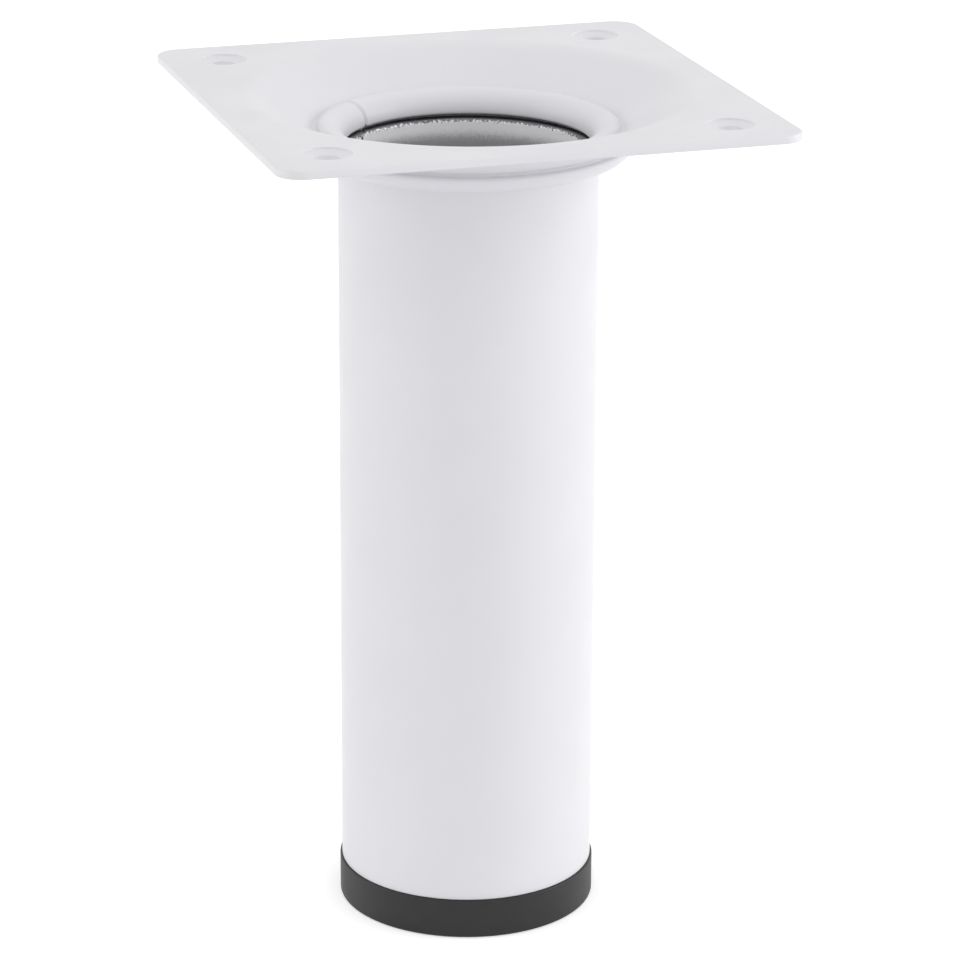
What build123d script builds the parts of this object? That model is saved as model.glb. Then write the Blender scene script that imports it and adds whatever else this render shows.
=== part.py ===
from build123d import *
from math import asin
from math import atan2
from math import degrees
from math import hypot
from math import radians
from math import sqrt
from math import tan
import os

# Short round furniture leg: a pressed plate, a swaged steel tube and a push-in foot cap.
# Millimetres. +Z runs up the tube, the origin is the centre of the foot's underside,
# and the plate's square edges run along X and Y.

# ---- overall ----
LEG_HEIGHT = 165.0

# ---- tube ----
TUBE_RADIUS = 25.0
TUBE_WALL = 1.5

# ---- mounting plate ----
PLATE_SIDE = 100.0
PLATE_THICKNESS = 1.6
PLATE_CORNER_RADIUS = 6.0
PLATE_EDGE_ROUND = 0.5
SCREW_PITCH = 77.0
SCREW_HOLE_RADIUS = 2.5
COUNTERSINK_RADIUS = 4.6
COUNTERSINK_ANGLE = 90.0
SCREW_LAND = 0.5
DIMPLE_WALL = 1.2

# ---- dish pressed into the plate ----
DISH_DEPTH = 7.3
DISH_SEAT_WIDTH = 4.2
DISH_RUN = 14.8
SHOULDER_BEND_RADIUS = 8.0
FOOT_BEND_RADIUS = 1.2

# ---- swaged joint: a bead folded under the dish's seat and a brim flared over it ----
SEAT_CLEARANCE = 0.05
BEAD_REACH = 6.9
BEAD_BELLY_RADIUS = 4.0
BEAD_CORNER_ROUND = 0.6
BEAD_GAP = 0.5
BEAD_ROOT_FILLET = 0.5
FOLD_REACH = 4.7
FOLD_FLOOR_RADIUS = 1.2
FOLD_ROOF_RADIUS = 0.6
BRIM_REACH = 4.0
BRIM_EDGE_ROUND = 1.2

# ---- foot cap ----
COLLAR_HEIGHT = 8.0
COLLAR_OVERHANG = 0.4
COLLAR_TOP_ROUND = 0.35
COLLAR_BOTTOM_ROUND = 0.5
CAP_FLOOR = 3.0
SKIRT_HEIGHT = 17.0
SKIRT_WALL = 1.8
SKIRT_CLEARANCE = 0.35
SKIRT_LEAD_IN = 0.8
RIB_COUNT = 8
RIB_WIDTH = 1.6
RIB_CLEARANCE = 0.05
RIB_LEAD_IN = 3.0

# ---- heights and radii that follow ----
BORE_RADIUS = TUBE_RADIUS - TUBE_WALL
PLATE_UNDERSIDE = LEG_HEIGHT - PLATE_THICKNESS

# each countersink is deeper than the sheet, so its sheet is pressed out below the plate as a dimple
COUNTERSINK_SPREAD = tan(radians(COUNTERSINK_ANGLE / 2))
COUNTERSINK_DEPTH = (COUNTERSINK_RADIUS - SCREW_HOLE_RADIUS) / COUNTERSINK_SPREAD
DIMPLE_HEIGHT = COUNTERSINK_DEPTH + SCREW_LAND - PLATE_THICKNESS
DIMPLE_FOOT_RADIUS = SCREW_HOLE_RADIUS + DIMPLE_WALL
DIMPLE_ROOT_RADIUS = DIMPLE_FOOT_RADIUS + DIMPLE_HEIGHT * COUNTERSINK_SPREAD

SEAT_TOP = LEG_HEIGHT - DISH_DEPTH
SEAT_UNDERSIDE = SEAT_TOP - PLATE_THICKNESS
SEAT_RADIUS = TUBE_RADIUS + DISH_SEAT_WIDTH
DISH_RADIUS = SEAT_RADIUS + DISH_RUN

BEAD_TOP = SEAT_UNDERSIDE - SEAT_CLEARANCE
FOLD_ROOF = BEAD_TOP - TUBE_WALL
FOLD_FLOOR = FOLD_ROOF - BEAD_GAP
BEAD_UNDERSIDE = FOLD_FLOOR - TUBE_WALL
FOLD_END_RADIUS = BEAD_GAP / 2
FOLD_END_CENTRE = (TUBE_RADIUS + FOLD_REACH - FOLD_END_RADIUS, FOLD_FLOOR + FOLD_END_RADIUS)
BELLY_CENTRE = (TUBE_RADIUS + BEAD_REACH - BEAD_BELLY_RADIUS, BEAD_UNDERSIDE + BEAD_BELLY_RADIUS)

BRIM_CREST = SEAT_TOP + SEAT_CLEARANCE + TUBE_WALL
BRIM_UNDERSIDE = BRIM_CREST - TUBE_WALL
BRIM_EDGE_RADIUS = TUBE_RADIUS + BRIM_REACH
FLARE_START = FOLD_ROOF + FOLD_ROOF_RADIUS
FLARE_RADIUS = BRIM_CREST - FLARE_START
FLARE_OUTER_RADIUS = FLARE_RADIUS - TUBE_WALL
FLARE_CENTRE = (BORE_RADIUS + FLARE_RADIUS, FLARE_START)

# two ends of an outline this near each other are one point
SAME_POINT = 1e-6


def arc(centre, radius, start, sweep):
    """A round stretch of an outline, drawn in (distance from the axis, height)."""
    return CenterArc(centre, radius, start, sweep)


def outline(*stretches):
    """Closes arcs and corner points into one face, with straight runs between them."""
    starts = [s if isinstance(s, tuple) else tuple(s @ 0) for s in stretches]
    ends = [s if isinstance(s, tuple) else tuple(s @ 1) for s in stretches]
    edges = [s for s in stretches if not isinstance(s, tuple)]
    for end, start in zip(ends, starts[1:] + starts[:1]):
        if (Vector(*end) - Vector(*start)).length > SAME_POINT:
            edges.append(Line(end, start))
    return make_face(edges)


def turned(face):
    """Turns an outline about the leg's axis."""
    return revolve(Plane.XZ * face, Axis.Z)


def dish_slope():
    """Slope of the dish's cone, which is tangent to its shoulder bend and its foot bend."""
    rise = (LEG_HEIGHT - SHOULDER_BEND_RADIUS) - (SEAT_TOP + FOOT_BEND_RADIUS)
    bends = SHOULDER_BEND_RADIUS + FOOT_BEND_RADIUS
    return degrees(asin(bends / hypot(DISH_RUN, rise)) + atan2(rise, DISH_RUN))


def make_mounting_plate():
    """Square pressed plate with a dish round the tube and four pressed countersinks for screws."""
    slope = dish_slope()
    shoulder = (DISH_RADIUS, LEG_HEIGHT - SHOULDER_BEND_RADIUS)
    foot = (SEAT_RADIUS, SEAT_TOP + FOOT_BEND_RADIUS)
    sheet_reach = PLATE_SIDE

    # the hole's edge is rounded to the flare that bears on it
    edge_radius = SEAT_TOP - FLARE_START
    edge_foot = 180 - degrees(asin((SEAT_UNDERSIDE - FLARE_START) / edge_radius))

    sheet = turned(outline(
        arc(FLARE_CENTRE, edge_radius, edge_foot, 90 - edge_foot),
        arc(foot, FOOT_BEND_RADIUS, 270, slope),
        arc(shoulder, SHOULDER_BEND_RADIUS, 90 + slope, -slope),
        (sheet_reach, LEG_HEIGHT),
        (sheet_reach, PLATE_UNDERSIDE),
        arc(shoulder, SHOULDER_BEND_RADIUS - PLATE_THICKNESS, 90, slope),
        arc(foot, FOOT_BEND_RADIUS + PLATE_THICKNESS, 270 + slope, -slope),
    ))
    blank = extrude(RectangleRounded(PLATE_SIDE, PLATE_SIDE, PLATE_CORNER_RADIUS), LEG_HEIGHT)
    plate = sheet & blank

    half_side = PLATE_SIDE / 2
    corner_reach = half_side - PLATE_CORNER_RADIUS
    rim = [edge for edge in plate.edges()
           if abs(edge.center().Z - (LEG_HEIGHT + PLATE_UNDERSIDE) / 2) > PLATE_THICKNESS / 4
           and max(abs(edge.center().X), abs(edge.center().Y)) > corner_reach]
    plate = fillet(rim, PLATE_EDGE_ROUND)

    through = 2 * (PLATE_THICKNESS + DIMPLE_HEIGHT)
    with BuildPart() as holed:
        add(plate)
        with Locations((0, 0, PLATE_UNDERSIDE - DIMPLE_HEIGHT / 2)):
            with GridLocations(SCREW_PITCH, SCREW_PITCH, 2, 2):
                Cone(DIMPLE_FOOT_RADIUS, DIMPLE_ROOT_RADIUS, DIMPLE_HEIGHT)
        with Locations((0, 0, LEG_HEIGHT)):
            with GridLocations(SCREW_PITCH, SCREW_PITCH, 2, 2):
                CounterSinkHole(SCREW_HOLE_RADIUS, COUNTERSINK_RADIUS, through, COUNTERSINK_ANGLE)
    return holed.part


def make_leg_tube():
    """Round steel tube, swaged at the top: folded bead, throat and flared brim."""
    fold_floor = (BORE_RADIUS + FOLD_FLOOR_RADIUS, FOLD_FLOOR - FOLD_FLOOR_RADIUS)
    fold_roof = (BORE_RADIUS + FOLD_ROOF_RADIUS, FOLD_ROOF + FOLD_ROOF_RADIUS)
    brim_edge = (BRIM_EDGE_RADIUS - BRIM_EDGE_ROUND, BRIM_CREST - BRIM_EDGE_ROUND)
    bead_root = (TUBE_RADIUS + BEAD_ROOT_FILLET, BEAD_UNDERSIDE - BEAD_ROOT_FILLET)
    throat = 180 - degrees(asin((BEAD_TOP - FLARE_START) / FLARE_OUTER_RADIUS))

    # the bead's belly runs into the round of its upper corner at this angle below the horizontal
    corner_drop = BELLY_CENTRE[1] - (BEAD_TOP - BEAD_CORNER_ROUND)
    corner_angle = degrees(asin(corner_drop / (BEAD_BELLY_RADIUS - BEAD_CORNER_ROUND)))
    corner_out = sqrt((BEAD_BELLY_RADIUS - BEAD_CORNER_ROUND) ** 2 - corner_drop ** 2)
    bead_corner = (BELLY_CENTRE[0] + corner_out, BEAD_TOP - BEAD_CORNER_ROUND)

    return turned(outline(
        (BORE_RADIUS, COLLAR_HEIGHT),
        arc(fold_floor, FOLD_FLOOR_RADIUS, 180, -90),
        arc(FOLD_END_CENTRE, FOLD_END_RADIUS, 270, 180),
        arc(fold_roof, FOLD_ROOF_RADIUS, 270, -90),
        arc(FLARE_CENTRE, FLARE_RADIUS, 180, -90),
        arc(brim_edge, BRIM_EDGE_ROUND, 90, -90),
        (BRIM_EDGE_RADIUS, BRIM_UNDERSIDE),
        arc(FLARE_CENTRE, FLARE_OUTER_RADIUS, 90, throat - 90),
        arc(bead_corner, BEAD_CORNER_ROUND, 90, -90 - corner_angle),
        arc(BELLY_CENTRE, BEAD_BELLY_RADIUS, -corner_angle, corner_angle - 90),
        arc(bead_root, BEAD_ROOT_FILLET, 90, 90),
        (TUBE_RADIUS, COLLAR_HEIGHT),
    ))


def make_foot_cap():
    """Moulded cap: a collar that carries the tube and a ribbed skirt that grips its bore."""
    collar_radius = TUBE_RADIUS + COLLAR_OVERHANG
    skirt_radius = BORE_RADIUS - SKIRT_CLEARANCE
    skirt_top = COLLAR_HEIGHT + SKIRT_HEIGHT
    bottom_round = (collar_radius - COLLAR_BOTTOM_ROUND, COLLAR_BOTTOM_ROUND)
    top_round = (collar_radius - COLLAR_TOP_ROUND, COLLAR_HEIGHT - COLLAR_TOP_ROUND)

    cup = turned(outline(
        (0.0, 0.0),
        arc(bottom_round, COLLAR_BOTTOM_ROUND, 270, 90),
        arc(top_round, COLLAR_TOP_ROUND, 0, 90),
        (skirt_radius, COLLAR_HEIGHT),
        (skirt_radius, skirt_top - SKIRT_LEAD_IN),
        (skirt_radius - SKIRT_LEAD_IN, skirt_top),
        (skirt_radius - SKIRT_WALL, skirt_top),
        (skirt_radius - SKIRT_WALL, CAP_FLOOR),
        (0.0, CAP_FLOOR),
    ))

    rib_radius = BORE_RADIUS - RIB_CLEARANCE
    rib_root = skirt_radius - SKIRT_WALL / 2
    rib_top = skirt_top - SKIRT_LEAD_IN
    rib_face = Plane.XZ * outline(
        (rib_root, COLLAR_HEIGHT),
        (rib_radius, COLLAR_HEIGHT),
        (rib_radius, rib_top - RIB_LEAD_IN),
        (skirt_radius, rib_top),
        (rib_root, rib_top),
    )
    rib = extrude(rib_face, RIB_WIDTH / 2, both=True)
    return cup + [spot * rib for spot in PolarLocations(0, RIB_COUNT)]


os.makedirs("parts", exist_ok=True)
export_step(make_mounting_plate(), "parts/mounting_plate.step")
export_step(make_leg_tube(), "parts/leg_tube.step")
export_step(make_foot_cap(), "parts/foot_cap.step")
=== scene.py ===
import math

import bpy
from mathutils import Matrix, Vector


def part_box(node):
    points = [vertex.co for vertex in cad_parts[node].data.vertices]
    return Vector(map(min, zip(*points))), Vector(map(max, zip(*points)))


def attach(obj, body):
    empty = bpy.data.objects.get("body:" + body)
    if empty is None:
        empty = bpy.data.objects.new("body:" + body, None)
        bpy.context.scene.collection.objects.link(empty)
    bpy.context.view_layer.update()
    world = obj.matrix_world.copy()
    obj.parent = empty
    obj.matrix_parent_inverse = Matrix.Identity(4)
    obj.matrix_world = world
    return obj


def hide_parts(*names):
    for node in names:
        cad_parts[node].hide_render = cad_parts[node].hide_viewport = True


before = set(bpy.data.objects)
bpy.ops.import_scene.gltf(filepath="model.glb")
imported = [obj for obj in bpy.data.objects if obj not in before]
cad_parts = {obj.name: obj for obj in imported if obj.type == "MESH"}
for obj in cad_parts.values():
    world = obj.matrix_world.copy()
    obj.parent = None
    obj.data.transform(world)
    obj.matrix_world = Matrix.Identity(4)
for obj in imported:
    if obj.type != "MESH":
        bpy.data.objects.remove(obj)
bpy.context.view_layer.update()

# A short furniture leg: a pressed steel plate, a swaged steel tube and a moulded foot cap.
# Sections are drawn in millimetres as (distance from the leg's axis, height) and swept round it.
MM = 0.001

# ---- sizes read from the frame, in millimetres ----
plate_box = [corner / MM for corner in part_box("mounting_plate")]
tube_box = [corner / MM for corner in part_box("leg_tube")]
cap_box = [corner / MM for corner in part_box("foot_cap")]

PLATE_TOP = plate_box[1].z
SEAT_UNDERSIDE = plate_box[0].z
PLATE_SIDE = plate_box[1].x - plate_box[0].x
BRIM_CREST = tube_box[1].z
COLLAR_HEIGHT = tube_box[0].z
COLLAR_RADIUS = cap_box[1].x
SKIRT_TOP = cap_box[1].z

# ---- tube ----
TUBE_RADIUS = 25.0
TUBE_WALL = 1.5
TUBE_END_ROUND = 0.12
BORE_RADIUS = TUBE_RADIUS - TUBE_WALL

# ---- swaged joint: a bead folded under the dish's seat and a brim flared over it ----
SWAGE_CLEARANCE = 0.05
BEAD_REACH = 6.9
BEAD_BELLY_RADIUS = 4.0
BEAD_CORNER_ROUND = 0.6
BEAD_GAP = 0.5
BEAD_ROOT_FILLET = 0.5
FOLD_REACH = 4.7
FOLD_FLOOR_RADIUS = 1.2
FOLD_ROOF_RADIUS = 0.6
BRIM_REACH = 4.0
BRIM_EDGE_ROUND = 1.2
BRIM_COAT_FILLET = 0.6
COAT_FILLET = 0.35

BEAD_TOP = SEAT_UNDERSIDE - SWAGE_CLEARANCE
FOLD_ROOF = BEAD_TOP - TUBE_WALL
FOLD_FLOOR = FOLD_ROOF - BEAD_GAP
BEAD_UNDERSIDE = FOLD_FLOOR - TUBE_WALL
BELLY_CENTRE = (TUBE_RADIUS + BEAD_REACH - BEAD_BELLY_RADIUS, BEAD_UNDERSIDE + BEAD_BELLY_RADIUS)
FOLD_END_CENTRE = (TUBE_RADIUS + FOLD_REACH - BEAD_GAP / 2, FOLD_FLOOR + BEAD_GAP / 2)
FLARE_START = FOLD_ROOF + FOLD_ROOF_RADIUS
FLARE_RADIUS = BRIM_CREST - FLARE_START
FLARE_CENTRE = (BORE_RADIUS + FLARE_RADIUS, FLARE_START)
BRIM_EDGE_RADIUS = TUBE_RADIUS + BRIM_REACH

# ---- weld seam: ground flush down the tube, and opened to a groove where the brim is flared ----
SEAM_ANGLE = 130.0
SEAM_WIDTH = 0.38
SEAM_DEPTH = 0.55
SEAM_CROWDING = 0.9
SEAM_GROUND_SHARE = 0.04

# a sweep without a groove still divides by a width, so it is given this one
NO_SEAM_WIDTH = 1.0

# ---- the weld's mark in the bore ----
WELD_ANGLE = 134.0
WELD_HALF_WIDTH = 0.1
WELD_DARK_TO = 2.0
WELD_CLEAN_FROM = 8.0
WELD_CLEAN_SHARE = 0.75

# ---- mounting plate ----
PLATE_THICKNESS = 1.6
PLATE_UNDERSIDE = PLATE_TOP - PLATE_THICKNESS
PLATE_CORNER_RADIUS = 5.0
PLATE_EDGE_ROUND = 0.5
PLATE_LOWER_ROUND = 0.25
FLAT_MARGIN = 0.4
SEAT_TOP = SEAT_UNDERSIDE + PLATE_THICKNESS
DISH_SEAT_WIDTH = 4.2
SEAT_RADIUS = TUBE_RADIUS + DISH_SEAT_WIDTH
DISH_RUN = 14.8
DISH_RADIUS = SEAT_RADIUS + DISH_RUN
SHOULDER_BEND_RADIUS = 8.0
FOOT_BEND_RADIUS = 1.2

# ---- screw holes: pressed countersinks, narrowed by the coat ----
SCREW_PITCH = 77.0
SCREW_HOLE_RADIUS = 2.42
COUNTERSINK_RADIUS = 4.6
COUNTERSINK_RIM_ROUND = 0.08
COUNTERSINK_STEP = 0.32
COUNTERSINK_STEP_DRAFT = 0.05
DIMPLE_SLOPE = 45.0
DIMPLE_HEIGHT = 1.0
DIMPLE_FOOT = PLATE_UNDERSIDE - DIMPLE_HEIGHT
DIMPLE_FOOT_RADIUS = 3.7
DIMPLE_ROOT_FILLET = 0.4
HOLE_LIP_ROUND = 0.15

# ---- foot cap ----
COLLAR_TOP_ROUND = 0.35
COLLAR_BOTTOM_ROUND = 0.5
CAP_FLOOR = 3.0
SKIRT_CLEARANCE = 0.35
SKIRT_RADIUS = BORE_RADIUS - SKIRT_CLEARANCE
SKIRT_WALL = 1.8
SKIRT_LEAD_IN = 0.8
RIB_COUNT = 8
RIB_WIDTH = 1.6
RIB_CLEARANCE = 0.05
RIB_RADIUS = BORE_RADIUS - RIB_CLEARANCE
RIB_LEAD_IN = 3.0

# ---- how finely shapes are drawn: degrees along the arcs of a section, columns to a quarter turn ----
ARC_STEP = 15.0
SHOULDER_STEP = 3.0
BEND_STEP = 5.0
BELLY_STEP = 6.0
COATED_BEND_STEP = 10.0
END_ROUND_STEP = 30.0
ROUND_COLUMNS = 64
CUP_COLUMNS = 32
CORNER_COLUMNS = 16

# ---- how near points are one point, and how sharp an edge stays a crease ----
SAME_POINT = 1e-6
SWEEP_MERGE = 0.001
SHEET_MERGE = 0.003
CREASE_ANGLE = math.radians(35)


# ---------------------------------------------------------------- nodes


def add(tree, kind, given=(), **settings):
    """Adds a node with its settings. given maps inputs, by name or number, to values or other sockets."""
    made = tree.nodes.new(kind)
    for name, value in settings.items():
        setattr(made, name, value)
    for key, value in dict(given).items():
        if isinstance(value, bpy.types.NodeSocket):
            tree.links.new(value, made.inputs[key])
        else:
            made.inputs[key].default_value = value
    return made


def colour(code):
    """Turns an sRGB hex colour into the linear one that shaders take."""
    parts = [int(code[i:i + 2], 16) / 255 for i in (1, 3, 5)]
    return [c / 12.92 if c <= 0.04045 else ((c + 0.055) / 1.055) ** 2.4 for c in parts] + [1.0]


def shape_tree(name, inputs):
    """Starts a Geometry Nodes tree. inputs lists (name, socket type)."""
    tree = bpy.data.node_groups.new(name, "GeometryNodeTree")
    tree.interface.new_socket("Geometry", in_out="INPUT", socket_type="NodeSocketGeometry")
    for label, kind in inputs:
        tree.interface.new_socket(label, in_out="INPUT", socket_type=kind)
    tree.interface.new_socket("Geometry", in_out="OUTPUT", socket_type="NodeSocketGeometry")
    return tree, add(tree, "NodeGroupInput").outputs


def end_tree(tree, shape, coat):
    """Ends a Geometry Nodes tree with real geometry that carries its finish."""
    real = add(tree, "GeometryNodeRealizeInstances", {"Geometry": shape})
    finished = add(tree, "GeometryNodeSetMaterial", {"Geometry": real.outputs[0], "Material": coat})
    add(tree, "NodeGroupOutput", {0: finished.outputs[0]})
    return tree


# ---------------------------------------------------------------- shapes


def put(name, data):
    """Adds an object to the scene."""
    made = bpy.data.objects.new(name, data)
    bpy.context.scene.collection.objects.link(made)
    return made


def swept_section_tree():
    """Sweeps a section round the axis, quarter by quarter, with room for a spread between the corners.

    With no spread the sweep is a plain turning. The columns can crowd towards one angle, where a fine
    groove runs along the whole section.
    """
    tree, given = shape_tree("swept section", [
        ("Quarter Steps", "NodeSocketInt"),
        ("Corner Spread", "NodeSocketFloat"),
        ("Seam Angle", "NodeSocketFloat"),
        ("Seam Crowding", "NodeSocketFloat"),
        ("Seam Width", "NodeSocketFloat"),
        ("Seam Depth", "NodeSocketFloat"),
        ("Seam Fades To", "NodeSocketFloat"),
        ("Seam Full From", "NodeSocketFloat"),
        ("Finish", "NodeSocketMaterial"),
    ])
    size = add(tree, "GeometryNodeAttributeDomainSize", {0: given["Geometry"]}, component="MESH")
    per_quarter = add(tree, "FunctionNodeIntegerMath", {0: given["Quarter Steps"], 1: 1}, operation="ADD")
    all_quarters = add(tree, "FunctionNodeIntegerMath", {0: per_quarter.outputs[0], 1: 4},
                       operation="MULTIPLY")
    columns = add(tree, "FunctionNodeIntegerMath", {0: all_quarters.outputs[0], 1: 1}, operation="ADD")
    grid = add(tree, "GeometryNodeMeshGrid", {
        "Vertices X": size.outputs["Point Count"], "Vertices Y": columns.outputs[0],
    })

    index = add(tree, "GeometryNodeInputIndex")
    row = add(tree, "FunctionNodeIntegerMath", {0: index.outputs[0], 1: columns.outputs[0]},
              operation="DIVIDE_FLOOR")
    column = add(tree, "FunctionNodeIntegerMath", {0: index.outputs[0], 1: columns.outputs[0]},
                 operation="MODULO")
    quarter = add(tree, "FunctionNodeIntegerMath", {0: column.outputs[0], 1: per_quarter.outputs[0]},
                  operation="DIVIDE_FLOOR")
    step = add(tree, "FunctionNodeIntegerMath", {0: column.outputs[0], 1: per_quarter.outputs[0]},
               operation="MODULO")
    share = add(tree, "ShaderNodeMath", {0: step.outputs[0], 1: given["Quarter Steps"]}, operation="DIVIDE")
    turn = add(tree, "ShaderNodeMath", {0: share.outputs[0], 1: quarter.outputs[0]}, operation="ADD")
    angle = add(tree, "ShaderNodeMath", {0: turn.outputs[0], 1: math.pi / 2}, operation="MULTIPLY")
    sine = add(tree, "ShaderNodeMath", {0: angle.outputs[0]}, operation="SINE")
    pull = add(tree, "ShaderNodeMath", {0: sine.outputs[0], 1: given["Seam Crowding"]},
               operation="MULTIPLY")
    from_seam = add(tree, "ShaderNodeMath", {0: angle.outputs[0], 1: pull.outputs[0]},
                    operation="SUBTRACT")
    placed = add(tree, "ShaderNodeMath", {0: from_seam.outputs[0], 1: given["Seam Angle"]},
                 operation="ADD")

    where = add(tree, "GeometryNodeInputPosition")
    drawn = add(tree, "GeometryNodeSampleIndex", {
        "Geometry": given["Geometry"], "Value": where.outputs[0], "Index": row.outputs[0],
    }, data_type="FLOAT_VECTOR", domain="POINT")
    swung = add(tree, "ShaderNodeVectorRotate", {"Vector": drawn.outputs[0], "Angle": placed.outputs[0]},
                rotation_type="Z_AXIS")
    corner = add(tree, "ShaderNodeCombineXYZ", {"X": given["Corner Spread"], "Y": given["Corner Spread"]})
    quarter_turn = add(tree, "ShaderNodeMath", {0: quarter.outputs[0], 1: math.pi / 2},
                       operation="MULTIPLY")
    corner_place = add(tree, "ShaderNodeVectorRotate", {
        "Vector": corner.outputs[0], "Angle": quarter_turn.outputs[0],
    }, rotation_type="Z_AXIS")
    place = add(tree, "ShaderNodeVectorMath", {0: swung.outputs[0], 1: corner_place.outputs[0]},
                operation="ADD")
    swept = add(tree, "GeometryNodeSetPosition", {
        "Geometry": grid.outputs["Mesh"], "Position": place.outputs[0],
    })

    # the groove: how far each point lies from the seam, along the surface
    radius = add(tree, "ShaderNodeSeparateXYZ", {0: drawn.outputs[0]})
    folded = add(tree, "ShaderNodeMath", {0: from_seam.outputs[0], 1: math.pi, 2: -math.pi},
                 operation="WRAP")
    off = add(tree, "ShaderNodeMath", {0: folded.outputs[0], 1: radius.outputs["X"]},
              operation="MULTIPLY")
    ratio = add(tree, "ShaderNodeMath", {0: off.outputs[0], 1: given["Seam Width"]}, operation="DIVIDE")
    square = add(tree, "ShaderNodeMath", {0: ratio.outputs[0], 1: ratio.outputs[0]},
                 operation="MULTIPLY")
    fall = add(tree, "ShaderNodeMath", {0: math.exp(-1), 1: square.outputs[0]}, operation="POWER")
    open_share = add(tree, "ShaderNodeMapRange", {
        "Value": radius.outputs["Z"], "From Min": given["Seam Fades To"],
        "From Max": given["Seam Full From"], "To Min": SEAM_GROUND_SHARE,
    })
    full = add(tree, "ShaderNodeMath", {0: fall.outputs[0], 1: given["Seam Depth"]},
               operation="MULTIPLY")
    sunk = add(tree, "ShaderNodeMath", {0: full.outputs[0], 1: open_share.outputs[0]},
               operation="MULTIPLY")
    depth = add(tree, "GeometryNodeCaptureAttribute", {"Geometry": swept.outputs[0]}, domain="POINT")
    depth.capture_items.new("FLOAT", "Depth")
    tree.links.new(sunk.outputs[0], depth.inputs["Depth"])
    closed = add(tree, "GeometryNodeMergeByDistance", {
        "Geometry": depth.outputs["Geometry"], "Distance": SWEEP_MERGE * MM,
    })
    outward = add(tree, "GeometryNodeInputNormal")
    inward = add(tree, "ShaderNodeMath", {0: depth.outputs["Depth"], 1: -1.0}, operation="MULTIPLY")
    shift = add(tree, "ShaderNodeVectorMath", {0: outward.outputs[0], "Scale": inward.outputs[0]},
                operation="SCALE")
    grooved = add(tree, "GeometryNodeSetPosition", {
        "Geometry": closed.outputs[0], "Offset": shift.outputs[0],
    })

    smooth = add(tree, "GeometryNodeSetShadeSmooth", {"Geometry": grooved.outputs[0]})
    fold = add(tree, "GeometryNodeInputMeshEdgeAngle")
    crease = add(tree, "FunctionNodeCompare", {0: fold.outputs["Unsigned Angle"], 1: CREASE_ANGLE},
                 data_type="FLOAT", operation="GREATER_THAN")
    creased = add(tree, "GeometryNodeSetShadeSmooth", {
        "Geometry": smooth.outputs[0], "Selection": crease.outputs[0], "Shade Smooth": False,
    }, domain="EDGE")
    return end_tree(tree, creased.outputs[0], given["Finish"])


def pressed_sheet_tree():
    """Joins a dish, an edge and four screw holes, and lays flat sheet between them."""
    tree, given = shape_tree("pressed sheet", [
        ("Edge", "NodeSocketObject"),
        ("Screw Hole", "NodeSocketObject"),
        ("Screw Pitch", "NodeSocketFloat"),
        ("Top", "NodeSocketFloat"),
        ("Underside", "NodeSocketFloat"),
        ("Finish", "NodeSocketMaterial"),
    ])
    edge = add(tree, "GeometryNodeObjectInfo", {"Object": given["Edge"]})
    hole = add(tree, "GeometryNodeObjectInfo", {"Object": given["Screw Hole"]})
    corners = add(tree, "GeometryNodeMeshGrid", {
        "Size X": given["Screw Pitch"], "Size Y": given["Screw Pitch"], "Vertices X": 2, "Vertices Y": 2,
    })
    holes = add(tree, "GeometryNodeInstanceOnPoints", {
        "Points": corners.outputs["Mesh"], "Instance": hole.outputs["Geometry"],
    })
    real_holes = add(tree, "GeometryNodeRealizeInstances", {"Geometry": holes.outputs[0]})
    shaped = add(tree, "GeometryNodeJoinGeometry")
    for part in (real_holes.outputs[0], edge.outputs["Geometry"], given["Geometry"]):
        tree.links.new(part, shaped.inputs[0])

    open_edge = add(tree, "FunctionNodeCompare", {
        2: add(tree, "GeometryNodeInputMeshEdgeNeighbors").outputs[0], 3: 1,
    }, data_type="INT", operation="EQUAL")
    height = add(tree, "ShaderNodeSeparateXYZ", {0: add(tree, "GeometryNodeInputPosition").outputs[0]})
    middle = add(tree, "ShaderNodeMath", {0: given["Top"], 1: given["Underside"]}, operation="ADD")
    half = add(tree, "ShaderNodeMath", {0: middle.outputs[0], 1: 0.5}, operation="MULTIPLY")
    whole = [shaped.outputs[0]]
    for side, level in (("GREATER_THAN", "Top"), ("LESS_THAN", "Underside")):
        this_side = add(tree, "FunctionNodeCompare", {0: height.outputs["Z"], 1: half.outputs[0]},
                        data_type="FLOAT", operation=side)
        rims = add(tree, "FunctionNodeBooleanMath", {0: open_edge.outputs[0], 1: this_side.outputs[0]},
                   operation="AND")
        loops = add(tree, "GeometryNodeMeshToCurve", {
            "Mesh": shaped.outputs[0], "Selection": rims.outputs[0],
        })
        flat = add(tree, "GeometryNodeFillCurve", {"Curve": loops.outputs[0]})
        lift = add(tree, "ShaderNodeCombineXYZ", {"Z": given[level]})
        laid = add(tree, "GeometryNodeTransform", {
            "Geometry": flat.outputs[0], "Translation": lift.outputs[0],
        })
        turned_over = add(tree, "GeometryNodeFlipFaces", {"Mesh": laid.outputs[0]})
        whole.append(laid.outputs[0] if level == "Top" else turned_over.outputs[0])
    joined = add(tree, "GeometryNodeJoinGeometry")
    for part in whole:
        tree.links.new(part, joined.inputs[0])
    closed = add(tree, "GeometryNodeMergeByDistance", {
        "Geometry": joined.outputs[0], "Distance": SHEET_MERGE * MM,
    })
    smooth = add(tree, "GeometryNodeSetShadeSmooth", {"Geometry": closed.outputs[0]})
    return end_tree(tree, smooth.outputs[0], given["Finish"])


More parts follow.
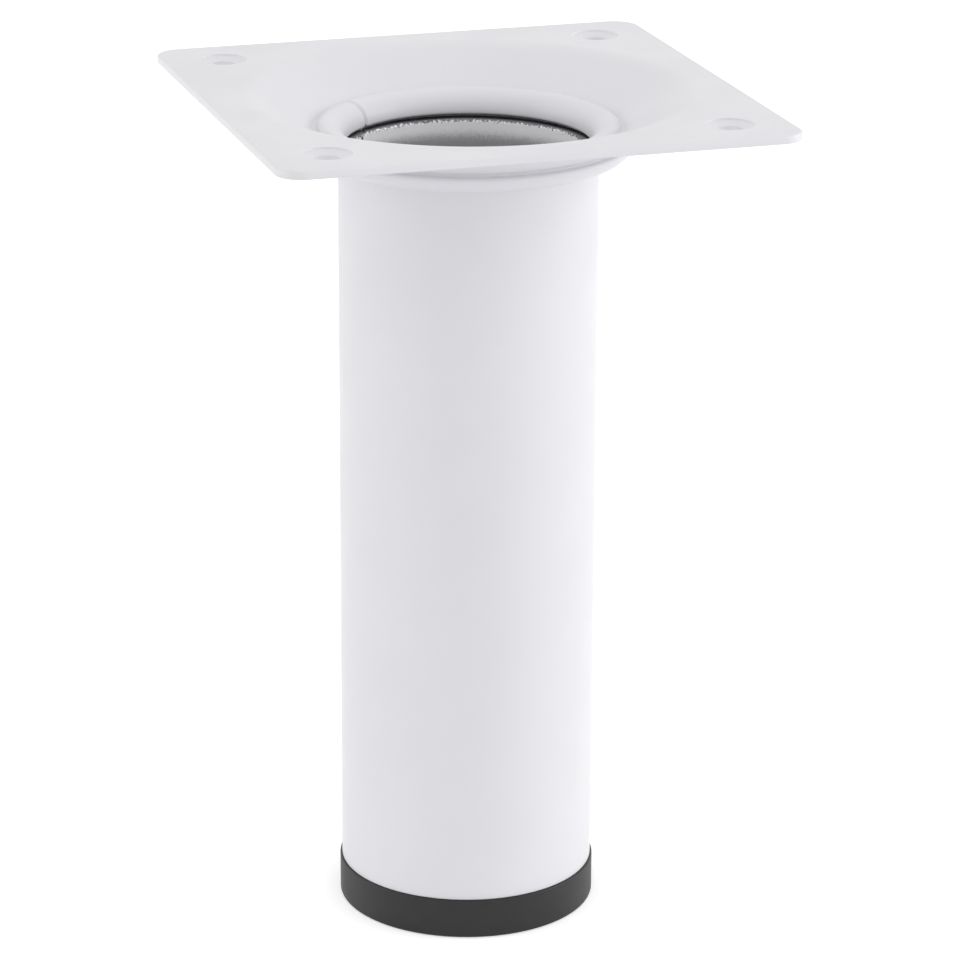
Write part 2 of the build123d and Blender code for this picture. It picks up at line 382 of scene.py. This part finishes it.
def ring_of_ribs_tree():
    """Adds a ring of ribs to a turned cup."""
    tree, given = shape_tree("ring of ribs", [
        ("Rib", "NodeSocketObject"),
        ("Rib Count", "NodeSocketInt"),
        ("Finish", "NodeSocketMaterial"),
    ])
    rib = add(tree, "GeometryNodeObjectInfo", {"Object": given["Rib"]})
    spots = add(tree, "GeometryNodeMeshLine", {"Count": given["Rib Count"], "Offset": (0, 0, 0)})
    index = add(tree, "GeometryNodeInputIndex")
    turn = add(tree, "ShaderNodeMath", {0: index.outputs[0], 1: given["Rib Count"]}, operation="DIVIDE")
    angle = add(tree, "ShaderNodeMath", {0: turn.outputs[0], 1: 2 * math.pi}, operation="MULTIPLY")
    about = add(tree, "ShaderNodeCombineXYZ", {"Z": angle.outputs[0]})
    ribs = add(tree, "GeometryNodeInstanceOnPoints", {
        "Points": spots.outputs[0], "Instance": rib.outputs["Geometry"], "Rotation": about.outputs[0],
    })
    joined = add(tree, "GeometryNodeJoinGeometry")
    tree.links.new(ribs.outputs[0], joined.inputs[0])
    tree.links.new(given["Geometry"], joined.inputs[0])
    return end_tree(tree, joined.outputs[0], given["Finish"])


def grow(name, start, tree, **sizes):
    """Runs a shape tree on a mesh and keeps a plain mesh object. sizes use the inputs' names."""
    piece = put(name, start)
    modifier = piece.modifiers.new("shape", "NODES")
    modifier.node_group = tree
    sockets = {s.name.lower().replace(" ", "_"): s.identifier
               for s in tree.interface.items_tree if s.in_out == "INPUT"}
    for size, value in sizes.items():
        modifier[sockets[size]] = value
    evaluated = piece.evaluated_get(bpy.context.evaluated_depsgraph_get())
    mesh = bpy.data.meshes.new_from_object(evaluated)
    piece.modifiers.remove(modifier)
    piece.data = mesh
    mesh.name = name
    coat = mesh.materials[mesh.polygons[0].material_index]
    mesh.materials.clear()
    mesh.materials.append(coat)
    mesh.polygons.foreach_set("material_index", [0] * len(mesh.polygons))
    return piece


def arc(centre, radius, start, sweep, step=ARC_STEP):
    """Points along a round stretch of a section, ends included."""
    steps = max(2, round(abs(sweep) / step))
    turns = [math.radians(start + sweep * i / steps) for i in range(steps + 1)]
    return [(centre[0] + radius * math.cos(t), centre[1] + radius * math.sin(t)) for t in turns]


def section(*stretches, closed=True):
    """A section as a line mesh in the XZ plane. A stretch is a list of points or one corner."""
    points = []
    for stretch in stretches:
        for point in (stretch if isinstance(stretch, list) else [stretch]):
            if not points or math.dist(point, points[-1]) > SAME_POINT:
                points.append(point)
    if closed:
        points.append(points[0])
    mesh = bpy.data.meshes.new("section")
    mesh.from_pydata([(x * MM, 0, z * MM) for x, z in points],
                     [(i, i + 1) for i in range(len(points) - 1)], [])
    return mesh


def bead_sections():
    """The bead's outside: the coat across the crevice under the dish, then the bead's corner and belly."""
    round_off = BEAD_CORNER_ROUND
    drop = BELLY_CENTRE[1] - (BEAD_TOP - round_off)
    out = math.sqrt((BEAD_BELLY_RADIUS - round_off) ** 2 - drop ** 2)
    corner = (BELLY_CENTRE[0] + out, BEAD_TOP - round_off)
    belly_top = -math.degrees(math.atan2(drop, out))

    # the coat's fillet touches the bead's corner and the underside of the dish's foot bend
    bend = (SEAT_RADIUS, SEAT_TOP + FOOT_BEND_RADIUS)
    bend_radius = FOOT_BEND_RADIUS + PLATE_THICKNESS
    apart = math.dist(corner, bend)
    near, far = round_off + COAT_FILLET, bend_radius + COAT_FILLET
    along = (near ** 2 - far ** 2 + apart ** 2) / (2 * apart)
    aside = math.sqrt(near ** 2 - along ** 2)
    way = ((bend[0] - corner[0]) / apart, (bend[1] - corner[1]) / apart)
    centre = (corner[0] + along * way[0] + aside * way[1],
              corner[1] + along * way[1] - aside * way[0])
    on_corner = math.degrees(math.atan2(centre[1] - corner[1], centre[0] - corner[0]))
    on_bend = math.degrees(math.atan2(centre[1] - bend[1], centre[0] - bend[0]))
    return (
        arc(bend, bend_radius + SWAGE_CLEARANCE, 270, on_bend + 90, BEND_STEP),
        arc(centre, COAT_FILLET, 180 + on_bend, on_corner - on_bend),
        arc(corner, round_off, on_corner, belly_top - on_corner),
        arc(BELLY_CENTRE, BEAD_BELLY_RADIUS, belly_top, -90 - belly_top, BELLY_STEP),
    )


def dish_slope():
    """The angle of the dish's cone, in degrees."""
    rise = (PLATE_TOP - SHOULDER_BEND_RADIUS) - (SEAT_TOP + FOOT_BEND_RADIUS)
    bends = SHOULDER_BEND_RADIUS + FOOT_BEND_RADIUS
    return math.degrees(math.asin(bends / math.hypot(DISH_RUN, rise)) + math.atan2(rise, DISH_RUN))


def brim_sections():
    """The brim's edge, and the coat that bridges the groove between it and the dish."""
    slope = dish_slope()
    edge = (BRIM_EDGE_RADIUS - BRIM_EDGE_ROUND, BRIM_CREST - BRIM_EDGE_ROUND)
    foot = (SEAT_RADIUS, SEAT_TOP + FOOT_BEND_RADIUS)
    tilt = math.radians(slope)
    over_bend = (edge[1] - foot[1]) * math.cos(tilt) - (edge[0] - foot[0]) * math.sin(tilt)
    over_cone = over_bend + FOOT_BEND_RADIUS
    reach = BRIM_EDGE_ROUND + BRIM_COAT_FILLET
    on_edge = slope + math.degrees(math.asin((BRIM_COAT_FILLET - over_cone) / reach))
    way = math.radians(on_edge)
    centre = (edge[0] + reach * math.cos(way), edge[1] + reach * math.sin(way))
    return (
        arc(edge, BRIM_EDGE_ROUND, 90, on_edge - 90),
        arc(centre, BRIM_COAT_FILLET, 180 + on_edge, 90 + slope - on_edge),
        arc(foot, FOOT_BEND_RADIUS - SWAGE_CLEARANCE, 270 + slope, -slope, COATED_BEND_STEP),
    )


def tube_section():
    """The tube's wall: bore, fold, throat, flared brim, bead, outer wall."""
    throat = 180 - math.degrees(math.asin((BEAD_TOP - FLARE_START) / (FLARE_RADIUS - TUBE_WALL)))
    end_round_height = COLLAR_HEIGHT + TUBE_END_ROUND
    inner_end = (BORE_RADIUS + TUBE_END_ROUND, end_round_height)
    outer_end = (TUBE_RADIUS - TUBE_END_ROUND, end_round_height)
    fold_floor = (BORE_RADIUS + FOLD_FLOOR_RADIUS, FOLD_FLOOR - FOLD_FLOOR_RADIUS)
    fold_roof = (BORE_RADIUS + FOLD_ROOF_RADIUS, FOLD_ROOF + FOLD_ROOF_RADIUS)
    bead_root = (TUBE_RADIUS + BEAD_ROOT_FILLET, BEAD_UNDERSIDE - BEAD_ROOT_FILLET)
    return section(
        arc(inner_end, TUBE_END_ROUND, 270, -90, END_ROUND_STEP),
        arc(fold_floor, FOLD_FLOOR_RADIUS, 180, -90),
        arc(FOLD_END_CENTRE, BEAD_GAP / 2, 270, 180),
        arc(fold_roof, FOLD_ROOF_RADIUS, 270, -90),
        arc(FLARE_CENTRE, FLARE_RADIUS, 180, -90, BEND_STEP),
        *brim_sections(),
        arc(FLARE_CENTRE, FLARE_RADIUS - TUBE_WALL, 90, throat - 90),
        *bead_sections(),
        arc(bead_root, BEAD_ROOT_FILLET, 90, 90),
        arc(outer_end, TUBE_END_ROUND, 0, -90, END_ROUND_STEP),
    )


def dish_section():
    """The dish: shoulder bend, cone, foot bend and seat on both faces, and the hole's edge between them."""
    slope = dish_slope()
    shoulder = (DISH_RADIUS, PLATE_TOP - SHOULDER_BEND_RADIUS)
    foot = (SEAT_RADIUS, SEAT_TOP + FOOT_BEND_RADIUS)
    edge_radius = SEAT_TOP - FLARE_START
    edge_foot = 180 - math.degrees(math.asin((SEAT_UNDERSIDE - FLARE_START) / edge_radius))
    return section(
        (DISH_RADIUS + FLAT_MARGIN, PLATE_UNDERSIDE),
        arc(shoulder, SHOULDER_BEND_RADIUS - PLATE_THICKNESS, 90, slope, SHOULDER_STEP),
        arc(foot, FOOT_BEND_RADIUS + PLATE_THICKNESS, 270 + slope, -slope, BEND_STEP),
        arc(FLARE_CENTRE, edge_radius, edge_foot, 90 - edge_foot),
        arc(foot, FOOT_BEND_RADIUS, 270, slope, BEND_STEP),
        arc(shoulder, SHOULDER_BEND_RADIUS, 90 + slope, -slope, SHOULDER_STEP),
        (DISH_RADIUS + FLAT_MARGIN, PLATE_TOP),
        closed=False,
    )


def edge_section():
    """The plate's cut edge, rounded by its coat, as a distance from the corner bends' centres."""
    inner = PLATE_CORNER_RADIUS - PLATE_EDGE_ROUND
    lower = (PLATE_CORNER_RADIUS - PLATE_LOWER_ROUND, PLATE_UNDERSIDE + PLATE_LOWER_ROUND)
    return section(
        (inner - FLAT_MARGIN, PLATE_TOP),
        arc((inner, PLATE_TOP - PLATE_EDGE_ROUND), PLATE_EDGE_ROUND, 90, -90),
        arc(lower, PLATE_LOWER_ROUND, 0, -90),
        (inner - FLAT_MARGIN, PLATE_UNDERSIDE),
        closed=False,
    )


def screw_hole_section():
    """A pressed countersink: a step, then a bowl whose sheet stands out below the plate."""
    slope = DIMPLE_SLOPE
    fall = math.tan(math.radians(slope))
    set_back = math.tan(math.radians(slope / 2))
    lip, root, rim = HOLE_LIP_ROUND, DIMPLE_ROOT_FILLET, COUNTERSINK_RIM_ROUND
    bowl_foot = DIMPLE_FOOT + PLATE_THICKNESS
    root_radius = DIMPLE_FOOT_RADIUS + (PLATE_UNDERSIDE - DIMPLE_FOOT) / fall + root * set_back
    rim_radius = COUNTERSINK_RADIUS + rim
    return section(
        (root_radius + FLAT_MARGIN, PLATE_UNDERSIDE),
        arc((root_radius, PLATE_UNDERSIDE - root), root, 90, slope),
        arc((DIMPLE_FOOT_RADIUS - lip * set_back, DIMPLE_FOOT + lip), lip, slope - 90, -slope),
        arc((SCREW_HOLE_RADIUS + lip, DIMPLE_FOOT + lip), lip, 270, -90),
        (SCREW_HOLE_RADIUS, bowl_foot),
        (COUNTERSINK_RADIUS - COUNTERSINK_STEP_DRAFT, PLATE_TOP - COUNTERSINK_STEP),
        arc((rim_radius, PLATE_TOP - rim), rim, 180, -90),
        (rim_radius + FLAT_MARGIN, PLATE_TOP),
        closed=False,
    )


def cup_section():
    """The foot cap's collar, skirt and floor."""
    top_round = (COLLAR_RADIUS - COLLAR_TOP_ROUND, COLLAR_HEIGHT - COLLAR_TOP_ROUND)
    bottom_round = (COLLAR_RADIUS - COLLAR_BOTTOM_ROUND, COLLAR_BOTTOM_ROUND)
    return section(
        (0.0, CAP_FLOOR),
        (SKIRT_RADIUS - SKIRT_WALL, CAP_FLOOR),
        (SKIRT_RADIUS - SKIRT_WALL, SKIRT_TOP),
        (SKIRT_RADIUS - SKIRT_LEAD_IN, SKIRT_TOP),
        (SKIRT_RADIUS, SKIRT_TOP - SKIRT_LEAD_IN),
        (SKIRT_RADIUS, COLLAR_HEIGHT),
        arc(top_round, COLLAR_TOP_ROUND, 90, -90),
        arc(bottom_round, COLLAR_BOTTOM_ROUND, 0, -90),
        (0.0, 0.0),
        closed=False,
    )


def rib_mesh():
    """One grip rib of the skirt, on the +X side."""
    root = SKIRT_RADIUS - SKIRT_WALL / 2
    top = SKIRT_TOP - SKIRT_LEAD_IN
    side = [(root, COLLAR_HEIGHT), (RIB_RADIUS, COLLAR_HEIGHT), (RIB_RADIUS, top - RIB_LEAD_IN),
            (SKIRT_RADIUS, top), (root, top)]
    count = len(side)
    corners = [(x * MM, y * MM, z * MM) for y in (-RIB_WIDTH / 2, RIB_WIDTH / 2) for x, z in side]
    faces = [list(range(count)), list(range(2 * count - 1, count - 1, -1))]
    faces += [[i, i + count, (i + 1) % count + count, (i + 1) % count] for i in range(count)]
    mesh = bpy.data.meshes.new("rib")
    mesh.from_pydata(corners, [], faces)
    return mesh


# ---------------------------------------------------------------- finishes

# sizes are in millimetres; where a finish has a pair, this span of a noise is spread between its two ends
NOISE_SPAN = (0.35, 0.65)

# ---- powder coat ----
PEEL_SIZE = 1.8
PEEL_HEIGHT = 0.004
GLOSS_DRIFT_SIZE = 14.0
COAT_ROUGHNESS = (0.38, 0.46)
COAT_WHITES = ("#E5E4E8", "#E1E0E4")
COAT_IOR = 1.5

# ---- overspray in the bore, by the depth below the fold ----
SPECK_SIZE = 0.5
SPRAY_FRAY = 0.9
SPRAY_FROM = 0.6
SPRAY_EDGE = 0.5
SPRAY_THICK_TO = 2.2
SPRAY_THIN_TO = 5.0
SPRAY_LEFT_SHARE = 0.25
# painted light: the overspray is painted whiter than the coat outside, so the bore's band below the fold
# reads brighter
SPRAY_PAINTED_LIGHT_WHITE = "#F4F3F6"

# ---- bare drawn steel in the bore ----
BORE_MARGIN = 0.2
STEEL_LINE_SIZE = 0.4
STEEL_LINE_STRETCH = 0.04
STEEL_GREYS = ("#A4A5A7", "#B4B5B7")
# painted shade: the dark steel right under the fold, also the colour of the weld's dark mark
STEEL_PAINTED_SHADE_AND_WELD_MARK = "#6C6C6E"
STEEL_ROUGHNESS = 0.38

# ---- cap plastic ----
GRAIN_SIZE = 0.45
GRAIN_HEIGHT = 0.02
FLOW_SIZE = 9.0
CAP_ROUGHNESS = (0.47, 0.55)
CAP_BLACKS = ("#171719", "#1B1B1D")
CAP_IOR = 1.47


def finish(name):
    """An empty material and its Principled shader."""
    material = bpy.data.materials.new(name)
    material.use_nodes = True
    return material, material.node_tree, material.node_tree.nodes["Principled BSDF"]


def wander(tree, noise, ends):
    """Spreads a noise between two values."""
    spread = add(tree, "ShaderNodeMapRange", {
        "Value": noise, "From Min": NOISE_SPAN[0], "From Max": NOISE_SPAN[1],
        "To Min": ends[0], "To Max": ends[1],
    })
    return spread.outputs[0]


def blend(tree, factor, a, b):
    """Mixes two colours, each a hex code or a socket."""
    a, b = (colour(c) if isinstance(c, str) else c for c in (a, b))
    mixed = add(tree, "ShaderNodeMix", {"Factor": factor, "A": a, "B": b}, data_type="RGBA")
    return mixed.outputs["Result"]


def coat_skin(tree, shader, place):
    """The coat's surface: a trace of orange peel, and a gloss that wanders a little across it."""
    peel = add(tree, "ShaderNodeTexNoise", {
        "Vector": place, "Scale": 1 / (PEEL_SIZE * MM), "Detail": 1.0,
    })
    relief = add(tree, "ShaderNodeBump", {"Height": peel.outputs[0], "Distance": PEEL_HEIGHT * MM})
    tree.links.new(relief.outputs[0], shader.inputs["Normal"])
    drift = add(tree, "ShaderNodeTexNoise", {
        "Vector": place, "Scale": 1 / (GLOSS_DRIFT_SIZE * MM), "Detail": 2.0,
    })
    return wander(tree, drift.outputs[0], COAT_ROUGHNESS), blend(tree, drift.outputs[0], *COAT_WHITES)


def powder_coat():
    """Polyester powder coat, baked on pressed steel: soft satin white with a trace of orange peel."""
    material, tree, shader = finish("satin white powder coat")
    place = add(tree, "ShaderNodeTexCoord").outputs["Object"]
    roughness, shade = coat_skin(tree, shader, place)
    tree.links.new(roughness, shader.inputs["Roughness"])
    tree.links.new(shade, shader.inputs["Base Color"])
    shader.inputs["IOR"].default_value = COAT_IOR
    return material


def coated_tube():
    """The same coat outside. Down the bore: painted shade right under the fold, then overspray painted
    whiter as painted light, thinning out to darker, bare drawn steel.
    """
    material, tree, shader = finish("satin white powder coat with a bare steel bore")
    place = add(tree, "ShaderNodeTexCoord").outputs["Object"]
    roughness, shade = coat_skin(tree, shader, place)

    # where the bore is, and how far each point lies below the fold
    spot = add(tree, "ShaderNodeSeparateXYZ", {0: place})
    level = add(tree, "ShaderNodeCombineXYZ", {"X": spot.outputs["X"], "Y": spot.outputs["Y"]})
    radius = add(tree, "ShaderNodeVectorMath", {0: level.outputs[0]}, operation="LENGTH")
    near_axis = add(tree, "ShaderNodeMath", {
        0: radius.outputs["Value"], 1: (TUBE_RADIUS - BORE_MARGIN) * MM,
    }, operation="LESS_THAN")
    below_fold = add(tree, "ShaderNodeMath", {
        0: spot.outputs["Z"], 1: (FOLD_FLOOR + BEAD_GAP / 2) * MM,
    }, operation="LESS_THAN")
    in_bore = add(tree, "ShaderNodeMath", {0: near_axis.outputs[0], 1: below_fold.outputs[0]},
                  operation="MULTIPLY")
    down = add(tree, "ShaderNodeMath", {0: FOLD_FLOOR * MM, 1: spot.outputs["Z"]}, operation="SUBTRACT")

    # overspray: bare right under the fold, thickest a little lower, then thinning out as specks
    ragged = add(tree, "ShaderNodeTexNoise", {
        "Vector": place, "Scale": 1 / (SPECK_SIZE * MM), "Detail": 3.0,
    })
    fray = add(tree, "ShaderNodeMapRange", {
        "Value": ragged.outputs[0], "To Min": -SPRAY_FRAY * MM, "To Max": SPRAY_FRAY * MM,
    })
    frayed = add(tree, "ShaderNodeMath", {0: down.outputs[0], 1: fray.outputs[0]}, operation="ADD")
    below_edge = add(tree, "ShaderNodeMapRange", {
        "Value": frayed.outputs[0], "From Min": SPRAY_FROM * MM,
        "From Max": (SPRAY_FROM + SPRAY_EDGE) * MM,
    }, interpolation_type="SMOOTHSTEP")

    # the weld's mark, which the spray does not reach: dark near the fold and paler further down
    weld = math.radians(WELD_ANGLE)
    off_weld = add(tree, "ShaderNodeVectorMath", {
        0: level.outputs[0], 1: (BORE_RADIUS * MM * math.cos(weld), BORE_RADIUS * MM * math.sin(weld), 0),
    }, operation="DISTANCE")
    weld_line = add(tree, "ShaderNodeMath", {0: off_weld.outputs["Value"], 1: fray.outputs[0]},
                    operation="ADD")
    beside_weld = add(tree, "ShaderNodeMapRange", {
        "Value": weld_line.outputs[0], "From Min": WELD_HALF_WIDTH * MM,
        "From Max": (WELD_HALF_WIDTH + SPRAY_EDGE) * MM,
    }, interpolation_type="SMOOTHSTEP")
    weld_cleaned = add(tree, "ShaderNodeMapRange", {
        "Value": down.outputs[0], "From Min": WELD_DARK_TO * MM, "From Max": WELD_CLEAN_FROM * MM,
        "To Max": WELD_CLEAN_SHARE,
    })
    weld_share = add(tree, "ShaderNodeMath", {0: beside_weld.outputs[0], 1: weld_cleaned.outputs[0]},
                     operation="MAXIMUM")
    reached = add(tree, "ShaderNodeMath", {0: below_edge.outputs[0], 1: weld_share.outputs[0]},
                  operation="MULTIPLY")
    thinning = add(tree, "ShaderNodeMapRange", {
        "Value": frayed.outputs[0], "From Min": SPRAY_THICK_TO * MM, "From Max": SPRAY_THIN_TO * MM,
        "To Min": 1.0, "To Max": SPRAY_LEFT_SHARE,
    }, interpolation_type="SMOOTHSTEP")
    dusted = add(tree, "ShaderNodeMath", {0: reached.outputs[0], 1: thinning.outputs[0]},
                 operation="MULTIPLY")
    bare = add(tree, "ShaderNodeMath", {0: 1.0, 1: dusted.outputs[0]}, operation="SUBTRACT")
    steel = add(tree, "ShaderNodeMath", {0: bare.outputs[0], 1: in_bore.outputs[0]},
                operation="MULTIPLY")

    # drawn steel: fine lines along the tube
    pulled = add(tree, "ShaderNodeMapping", {"Vector": place, "Scale": (1, 1, STEEL_LINE_STRETCH)})
    lines = add(tree, "ShaderNodeTexNoise", {
        "Vector": pulled.outputs[0], "Scale": 1 / (STEEL_LINE_SIZE * MM), "Detail": 2.0,
    })
    steel_shade = blend(tree, lines.outputs[0], *STEEL_GREYS)

    # painted shade: the metal right under the fold is painted dark, and the same dark marks the weld's line
    painted_shade_and_weld_mark = blend(tree, reached.outputs[0], STEEL_PAINTED_SHADE_AND_WELD_MARK, steel_shade)

    # painted light: the overspray in the bore is painted whiter than the skin outside, so the band below the
    # fold reads brighter
    bore_coat_painted_light = blend(tree, in_bore.outputs[0], shade, SPRAY_PAINTED_LIGHT_WHITE)
    base = blend(tree, steel.outputs[0], bore_coat_painted_light, painted_shade_and_weld_mark)
    polish = add(tree, "ShaderNodeMix", {
        "Factor": steel.outputs[0], "A": roughness, "B": STEEL_ROUGHNESS,
    })
    tree.links.new(base, shader.inputs["Base Color"])
    tree.links.new(polish.outputs["Result"], shader.inputs["Roughness"])
    tree.links.new(steel.outputs[0], shader.inputs["Metallic"])
    shader.inputs["IOR"].default_value = COAT_IOR
    return material


def cap_plastic():
    """Polypropylene from a spark-eroded mould: matt black, with a fine grain that breaks up highlights."""
    material, tree, shader = finish("matt black moulded polypropylene")
    place = add(tree, "ShaderNodeTexCoord").outputs["Object"]
    grain = add(tree, "ShaderNodeTexNoise", {
        "Vector": place, "Scale": 1 / (GRAIN_SIZE * MM), "Detail": 3.0,
    })
    relief = add(tree, "ShaderNodeBump", {"Height": grain.outputs[0], "Distance": GRAIN_HEIGHT * MM})
    tree.links.new(relief.outputs[0], shader.inputs["Normal"])
    flow = add(tree, "ShaderNodeTexNoise", {
        "Vector": place, "Scale": 1 / (FLOW_SIZE * MM), "Detail": 2.0,
    })
    tree.links.new(wander(tree, flow.outputs[0], CAP_ROUGHNESS), shader.inputs["Roughness"])
    tree.links.new(blend(tree, flow.outputs[0], *CAP_BLACKS), shader.inputs["Base Color"])
    shader.inputs["IOR"].default_value = CAP_IOR
    return material


# ---------------------------------------------------------------- the leg

sweep = swept_section_tree()
plate_coat = powder_coat()
tube_coat = coated_tube()
cap_finish = cap_plastic()

tube = grow("leg_tube_swaged", tube_section(), sweep, quarter_steps=ROUND_COLUMNS,
            seam_angle=math.radians(SEAM_ANGLE), seam_crowding=SEAM_CROWDING,
            seam_width=SEAM_WIDTH * MM, seam_depth=SEAM_DEPTH * MM,
            seam_fades_to=BEAD_UNDERSIDE * MM, seam_full_from=FOLD_ROOF * MM, finish=tube_coat)

cup = grow("cap_cup", cup_section(), sweep, quarter_steps=CUP_COLUMNS, seam_width=NO_SEAM_WIDTH)
rib = bpy.data.objects.new("cap_rib", rib_mesh())
cap = grow("foot_cap_moulded", cup.data, ring_of_ribs_tree(), rib=rib, rib_count=RIB_COUNT,
           finish=cap_finish)

dish = grow("plate_dish", dish_section(), sweep, quarter_steps=ROUND_COLUMNS, seam_width=NO_SEAM_WIDTH)
edge = grow("plate_edge", edge_section(), sweep, quarter_steps=CORNER_COLUMNS, seam_width=NO_SEAM_WIDTH,
            corner_spread=(PLATE_SIDE / 2 - PLATE_CORNER_RADIUS) * MM)
hole = grow("plate_screw_hole", screw_hole_section(), sweep, quarter_steps=CORNER_COLUMNS,
            seam_width=NO_SEAM_WIDTH)
plate = grow("mounting_plate_pressed", dish.data, pressed_sheet_tree(), edge=edge, screw_hole=hole,
             screw_pitch=SCREW_PITCH * MM, top=PLATE_TOP * MM, underside=PLATE_UNDERSIDE * MM,
             finish=plate_coat)
for helper in (cup, rib, dish, edge, hole):
    bpy.data.objects.remove(helper)

for piece, node, slot in (
    (plate, "mounting_plate", "plate_coat"),
    (tube, "leg_tube", "tube_coat"),
    (cap, "foot_cap", "cap_plastic"),
):
    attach(piece, "root")
    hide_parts(node)


# ---------------------------------------------------------------- floor, light and camera

# ---- white table and surroundings; the glow's reach in millimetres from the foot ----
WHITE = "#FFFFFF"
WORLD_LEVEL = 0.805
FLOOR_WHITE = "#F2F2F2"
FLOOR_LIFT = 0.39
FLOOR_HALF_WIDTH = 3000.0
FLOOR_CLEARANCE = 0.05
GLOW_LEVEL = 0.15
GLOW_FROM = 20.0
GLOW_TO = 100.0

# ---- soft boxes, in metres: name, azimuth from +X towards +Y, elevation, watts ----
LAMP_AIM = (0, 0, 0.09)
LAMP_DISTANCE = 1.3
LAMP_SIZE = 0.8
LAMPS = (
    ("right soft box", -17, 15, 5.6),
    ("left soft box", 163, 15, 2.8),
    ("front soft box", -107, 50, 1.0),
)

# ---- camera, in degrees and metres; the lens and its sensor in millimetres ----
CAMERA_AZIMUTH = -17.438
CAMERA_ELEVATION = 18.897
CAMERA_ROLL = 0.267
CAMERA_AIM = (0.0026, 0.0, 0.0865)
CAMERA_DISTANCE = 0.814
CAMERA_LENS = 155.415
CAMERA_SENSOR = 36.0
CAMERA_CLIP = (0.05, 20.0)


def seen_white(tree):
    """1 for rays that show a surface to the eye, straight, mirrored or through glass, and 0 for the rest."""
    path = add(tree, "ShaderNodeLightPath")
    mirrored = add(tree, "ShaderNodeMath", {
        0: path.outputs["Is Camera Ray"], 1: path.outputs["Is Glossy Ray"],
    }, operation="MAXIMUM")
    seen = add(tree, "ShaderNodeMath", {0: mirrored.outputs[0], 1: path.outputs["Is Transmission Ray"]},
               operation="MAXIMUM")
    return seen.outputs[0]


def floor_paint():
    """A white light table: plain white where nothing shades it, lit from below round the leg's foot."""
    material, tree, shader = finish("white studio floor")
    shader.inputs["Base Color"].default_value = colour(FLOOR_WHITE)
    shader.inputs["Roughness"].default_value = 1.0
    shader.inputs["Specular IOR Level"].default_value = 0.0
    place = add(tree, "ShaderNodeTexCoord").outputs["Object"]
    away = add(tree, "ShaderNodeVectorMath", {0: place}, operation="LENGTH")
    glow = add(tree, "ShaderNodeMapRange", {
        "Value": away.outputs["Value"], "From Min": GLOW_FROM * MM, "From Max": GLOW_TO * MM,
        "To Min": GLOW_LEVEL, "To Max": 0.0,
    }, interpolation_type="SMOOTHSTEP")
    lift = add(tree, "ShaderNodeMapRange", {
        "Value": seen_white(tree), "To Min": glow.outputs[0], "To Max": FLOOR_LIFT,
    })
    shader.inputs["Emission Color"].default_value = colour(WHITE)
    tree.links.new(lift.outputs[0], shader.inputs["Emission Strength"])
    return material


def lay_floor():
    """A wide flat floor, a hair below the foot so that the two faces don't meet."""
    half, low = FLOOR_HALF_WIDTH * MM, -FLOOR_CLEARANCE * MM
    mesh = bpy.data.meshes.new("studio_floor")
    corners = [(-half, -half, low), (half, -half, low), (half, half, low), (-half, half, low)]
    mesh.from_pydata(corners, [], [(0, 1, 2, 3)])
    mesh.materials.append(floor_paint())
    floor = put("studio_floor", mesh)


def light_world():
    """White surroundings: full white to the eye, and a plain even light on the leg."""
    world = bpy.data.worlds.new("studio")
    bpy.context.scene.world = world
    world.use_nodes = True
    tree = world.node_tree
    strength = add(tree, "ShaderNodeMapRange", {
        "Value": seen_white(tree), "To Min": WORLD_LEVEL, "To Max": 1.0,
    })
    background = tree.nodes["Background"]
    background.inputs["Color"].default_value = colour(WHITE)
    tree.links.new(strength.outputs[0], background.inputs["Strength"])


def hang_lamp(name, azimuth, elevation, watts):
    """A square soft box that faces the leg's middle."""
    a, e = math.radians(azimuth), math.radians(elevation)
    way = Vector((math.cos(a) * math.cos(e), math.sin(a) * math.cos(e), math.sin(e)))
    data = bpy.data.lights.new(name, "AREA")
    data.shape = "SQUARE"
    data.size = LAMP_SIZE
    data.energy = watts
    lamp = put(name, data)
    lamp.location = Vector(LAMP_AIM) + way * LAMP_DISTANCE
    lamp.rotation_euler = (-way).to_track_quat("-Z", "Y").to_euler()


def set_camera():
    """A long lens, a little above the plate and turned so that a corner of the plate comes forward."""
    azimuth, elevation, roll = (math.radians(v) for v in (CAMERA_AZIMUTH, CAMERA_ELEVATION, CAMERA_ROLL))
    back = Vector((math.sin(azimuth) * math.cos(elevation), -math.cos(azimuth) * math.cos(elevation),
                   math.sin(elevation)))
    data = bpy.data.cameras.new("camera")
    data.sensor_width = CAMERA_SENSOR
    data.lens = CAMERA_LENS
    data.clip_start, data.clip_end = CAMERA_CLIP
    camera = put("camera", data)
    turned = (-back).to_track_quat("-Z", "Y").to_matrix().to_4x4() @ Matrix.Rotation(roll, 4, "Z")
    camera.matrix_world = Matrix.Translation(Vector(CAMERA_AIM) + back * CAMERA_DISTANCE) @ turned
    bpy.context.scene.camera = camera


lay_floor()
light_world()
for lamp in LAMPS:
    hang_lamp(*lamp)
set_camera()

view = bpy.context.scene.view_settings
view.view_transform = "Standard"
